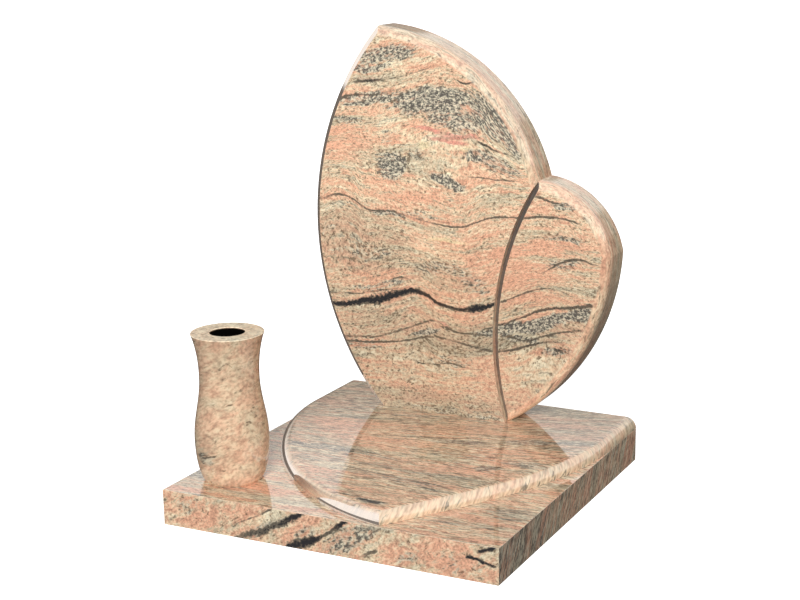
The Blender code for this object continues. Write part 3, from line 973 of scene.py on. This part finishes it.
def vaseGranite():
    material, tree, shader, coords, normal = graniteTree("vaseGranite")
    axis = (vaseLow + vaseHigh) / 2
    inputs = {"Vector": coords, "Location": (-axis.x, -axis.y, 0)}
    centred = put(tree, "ShaderNodeMapping", inputs).outputs[0]
    flow = put(tree, "ShaderNodeMapping", {"Vector": centred, "Rotation": (0.0, 0.42, 0.6)}).outputs[0]
    flow = warped(tree, flow, (18, 0.014))
    inputs = {"Vector": centred, "Location": vase["spotsAt"], "Scale": vase["spotsReach"]}
    local = put(tree, "ShaderNodeMapping", inputs, vector_type="TEXTURE").outputs[0]
    away = vectorMaths(tree, "LENGTH", local)["Value"]
    z = axesOf(tree, centred, "Z")[0]
    # Painted light: the rim's top is turned cream and lightened
    onRim = spread(tree, z, vaseHigh.z - 1.5 * mm, vaseHigh.z - 0.5 * mm)
    masks = {**plainMasks, "wisp": 0.0, "grey": spread(tree, away, 1.4, 0.3, 0.0, 0.5), "cream": onRim}
    color = graniteColor(tree, flow, smearedGrain, masks, (8, 3, 0))
    color = brighter(tree, color, weighed(tree, vase["brightness"], (onRim, vase["rimPaintedLight"])))
    boreFinish(tree, shader, centred, color)
    return material


def cornerArc(x, z, radius, start, end, steps=4):
    turns = np.radians(np.linspace(start, end, steps + 1))
    return [(x + radius * math.cos(a), z + radius * math.sin(a)) for a in turns]


def vaseProfile():
    high = vaseHigh.z - vaseLow.z
    floor = high - vase["boreDeep"]
    arris, bore, corner = vase["arris"], vase["bore"], vase["boreCorner"]
    line = [(0, floor), (bore / 2, floor), (bore - corner, floor), (bore - corner / 4, floor + corner / 4)]
    line += [(bore, floor + corner), (bore, high - 20 * mm)]
    line += cornerArc(bore + arris, high - arris, arris, 180, 90)
    line += cornerArc(vase["rim"] - arris, high - arris, arris, 90, 8)
    for k in range(2, vase["flareSteps"] + 1):
        t = k / vase["flareSteps"]
        rise = 1 - (1 - t) ** vase["flareBend"]
        line.append((vase["rim"] + (vase["neck"] - vase["rim"]) * rise, high + (vase["neckHigh"] - high) * t))
    for k in range(1, vase["bodySteps"] + 1):
        t = k / vase["bodySteps"]
        swing = (1 - math.cos(math.pi * t)) / 2
        radius = vase["neck"] + (vase["belly"] - vase["neck"]) * swing
        line.append((radius, vase["neckHigh"] + (vase["bellyHigh"] - vase["neckHigh"]) * t))
    reach = vase["footReach"]
    for k in range(1, vase["footSteps"] + 1):
        t = k / vase["footSteps"]
        share = (1 - math.sqrt(1 - (reach * t) ** 2)) / (1 - math.sqrt(1 - reach**2))
        radius = vase["belly"] + (vase["foot"] - vase["belly"]) * share
        line.append((radius, vase["bellyHigh"] * (1 - t)))
    line.append((0, 0))
    return line


def turningTree():
    tree = bpy.data.node_groups.new("turnProfile", "GeometryNodeTree")
    face = tree.interface
    face.new_socket("Profile", in_out="INPUT", socket_type="NodeSocketGeometry")
    face.new_socket("Steps Around", in_out="INPUT", socket_type="NodeSocketInt")
    face.new_socket("Profile Points", in_out="INPUT", socket_type="NodeSocketInt")
    face.new_socket("Foot Centre", in_out="INPUT", socket_type="NodeSocketVector")
    face.new_socket("Stone", in_out="INPUT", socket_type="NodeSocketMaterial")
    face.new_socket("Geometry", in_out="OUTPUT", socket_type="NodeSocketGeometry")
    given = put(tree, "NodeGroupInput").outputs
    stepsPlus = maths(tree, "ADD", given["Steps Around"], 1.0)
    grid = put(tree, "GeometryNodeMeshGrid", {"Vertices X": stepsPlus, "Vertices Y": given["Profile Points"]})
    place = put(tree, "ShaderNodeSeparateXYZ", {0: grid.outputs["UV Map"]})
    last = maths(tree, "SUBTRACT", given["Profile Points"], 1.0)
    index = maths(tree, "ROUND", maths(tree, "MULTIPLY", place.outputs[1], last))
    angle = maths(tree, "MULTIPLY", place.outputs[0], math.tau)
    sample = put(tree, "GeometryNodeSampleIndex", data_type="FLOAT_VECTOR", domain="POINT")
    tree.links.new(given["Profile"], sample.inputs["Geometry"])
    tree.links.new(put(tree, "GeometryNodeInputPosition").outputs[0], sample.inputs["Value"])
    tree.links.new(index, sample.inputs["Index"])
    inputs = {"Vector": sample.outputs[0], "Angle": angle}
    turned = put(tree, "ShaderNodeVectorRotate", inputs, rotation_type="Z_AXIS")
    placed = vectorMaths(tree, "ADD", turned.outputs[0], given["Foot Centre"])[0]
    inputs = {"Geometry": grid.outputs["Mesh"], "Position": placed}
    moved = put(tree, "GeometryNodeSetPosition", inputs)
    merged = put(tree, "GeometryNodeMergeByDistance", {"Geometry": moved.outputs[0], "Distance": 1e-5})
    real = put(tree, "GeometryNodeRealizeInstances", {"Geometry": merged.outputs[0]})
    stone = put(tree, "GeometryNodeSetMaterial", {"Geometry": real.outputs[0], "Material": given["Stone"]})
    put(tree, "NodeGroupOutput", {"Geometry": stone.outputs[0]})
    return tree


def makeVase(material):
    profile = vaseProfile()
    mesh = bpy.data.meshes.new("vaseProfile")
    mesh.from_pydata([(r, 0, z) for r, z in profile], [], [])
    maker = bpy.data.objects.new("vaseProfile", mesh)
    bpy.context.scene.collection.objects.link(maker)
    tree = turningTree()
    modifier = maker.modifiers.new("turn", "NODES")
    modifier.node_group = tree
    centre = (vaseLow + vaseHigh) / 2
    values = {
        "Steps Around": vase["around"],
        "Profile Points": len(profile),
        "Foot Centre": (centre.x, centre.y, vaseLow.z),
        "Stone": material,
    }
    for item in tree.interface.items_tree:
        if item.in_out == "INPUT" and item.name in values:
            modifier[item.identifier] = values[item.name]
    bpy.context.view_layer.update()
    graph = bpy.context.evaluated_depsgraph_get()
    turned = bpy.data.meshes.new_from_object(maker.evaluated_get(graph), depsgraph=graph)
    bpy.data.objects.remove(maker)
    standsFor(polished("flowerVase", turned, material, vase["sharpDegrees"]), "flower_vase")


makeSlab(slabGranite())
makePlate(plateGranite())
steleStone = steleGranite()
makeSteleStone("steleLeaf", "stele_leaf", leafRing, stele["leafChamfer"], steleStone)
makeSteleStone("stelePetal", "stele_petal", petalRing, stele["petalChamfer"], steleStone)
makeVase(vaseGranite())


# Studio: a pale floor, a soft key from the front, and surroundings that the polish mirrors: white above and
# to the left, grey over the horizon, dark below it

studio = {
    "floorRadius": 60.0,
    "floorColor": (0.92, 0.92, 0.92),
    "floorGlow": 0.80,
    "keyFrom": (0.345, -0.87, 0.42),
    "keySpread": 20,
    "keyPower": 3.9,
    "zenithFill": (0.32, 0.32, 0.32),
    "horizonFill": (0.02, 0.02, 0.02),
    "groundFill": (0.02, 0.02, 0.02),
    "rearFill": (1.35, 1.35, 1.35),
    "rearFrom": (-0.402, 0.915),  # X and Y of the way to it, opposite the photo's camera
    "rearReach": (0.6, 0.95),
    "rearHeight": (0.75, 0.35),
    "skyGrey": (0.30, 0.285, 0.275),
    "skyWhite": (1.14, 1.10, 1.06),
    "whiteLeft": (-0.52, -0.72),  # the white begins and is full at these X
    "whiteAbove": (0.285, 0.345),  # and at these Z
    "groundDark": (0.13, 0.108, 0.092),
    "horizon": (0.095, 0.125),
}


def makeFloor():
    mesh = bpy.data.meshes.new("studioFloor")
    bm = bmesh.new()
    bmesh.ops.create_circle(bm, cap_ends=True, segments=64, radius=studio["floorRadius"])
    bm.to_mesh(mesh)
    bm.free()
    material = bpy.data.materials.new("paleFloor")
    material.use_nodes = True
    shader = material.node_tree.nodes["Principled BSDF"]
    shader.inputs["Base Color"].default_value = (*studio["floorColor"], 1)
    shader.inputs["Roughness"].default_value = 0.9
    shader.inputs["Specular IOR Level"].default_value = 0.0
    shader.inputs["Emission Color"].default_value = (1, 1, 1, 1)
    shader.inputs["Emission Strength"].default_value = studio["floorGlow"]
    mesh.materials.append(material)
    floor = bpy.data.objects.new("studioFloor", mesh)
    bpy.context.scene.collection.objects.link(floor)
    floor.visible_glossy = False
    floor.visible_diffuse = False


def makeWorld():
    world = bpy.data.worlds.new("studioWorld")
    bpy.context.scene.world = world
    world.use_nodes = True
    tree = world.node_tree
    tree.nodes.clear()
    direction = put(tree, "ShaderNodeTexCoord").outputs["Generated"]
    x, y, z = axesOf(tree, direction)

    whiteLeft = spread(tree, x, *studio["whiteLeft"])
    whiteAbove = spread(tree, z, *studio["whiteAbove"])
    white = maths(tree, "MAXIMUM", whiteLeft, whiteAbove)
    sky = blendColor(tree, white, studio["skyGrey"], studio["skyWhite"])
    mirrored = blendColor(tree, spread(tree, z, *studio["horizon"]), studio["groundDark"], sky)

    fill = blendColor(tree, spread(tree, z, 0.0, 0.9), studio["horizonFill"], studio["zenithFill"])
    fill = blendColor(tree, spread(tree, z, 0.02, -0.02), fill, studio["groundFill"])
    rearX, rearY = studio["rearFrom"]
    fromRear = weighed(tree, times(tree, x, rearX), (y, rearY))
    rear = times(tree, spread(tree, fromRear, *studio["rearReach"]), spread(tree, z, *studio["rearHeight"]))
    fill = blendColor(tree, rear, fill, studio["rearFill"])  # makes the back readable

    ray = put(tree, "ShaderNodeLightPath")
    seen = blendColor(tree, ray.outputs["Is Glossy Ray"], fill, mirrored)
    seen = blendColor(tree, ray.outputs["Is Camera Ray"], seen, (1.0, 1.0, 1.0))
    background = put(tree, "ShaderNodeBackground", {"Color": seen})
    output = put(tree, "ShaderNodeOutputWorld")
    tree.links.new(background.outputs[0], output.inputs[0])


def makeKey():
    light = bpy.data.lights.new("softKey", "SUN")
    light.angle = math.radians(studio["keySpread"])
    light.energy = studio["keyPower"]
    lamp = bpy.data.objects.new("softKey", light)
    bpy.context.scene.collection.objects.link(lamp)
    lamp.rotation_euler = Vector(studio["keyFrom"]).to_track_quat("Z", "Y").to_euler()
    lamp.visible_glossy = False


camera = {
    "place": (1.1998, -2.2653, 0.9802),
    "backward": (0.39017, -0.88798, 0.24344),
    "lens": 70.82,
    "shiftX": -0.1516,
}


def makeCamera():
    data = bpy.data.cameras.new("photoCamera")
    data.lens = camera["lens"]
    data.sensor_width = 36
    data.shift_x = camera["shiftX"]
    data.clip_end = 200
    eye = bpy.data.objects.new("photoCamera", data)
    bpy.context.scene.collection.objects.link(eye)
    eye.location = camera["place"]
    eye.rotation_euler = (-Vector(camera["backward"])).to_track_quat("-Z", "Y").to_euler()
    bpy.context.scene.camera = eye


makeFloor()
makeWorld()
makeKey()
makeCamera()
bpy.context.scene.view_settings.view_transform = "Standard"
print("studio ready")
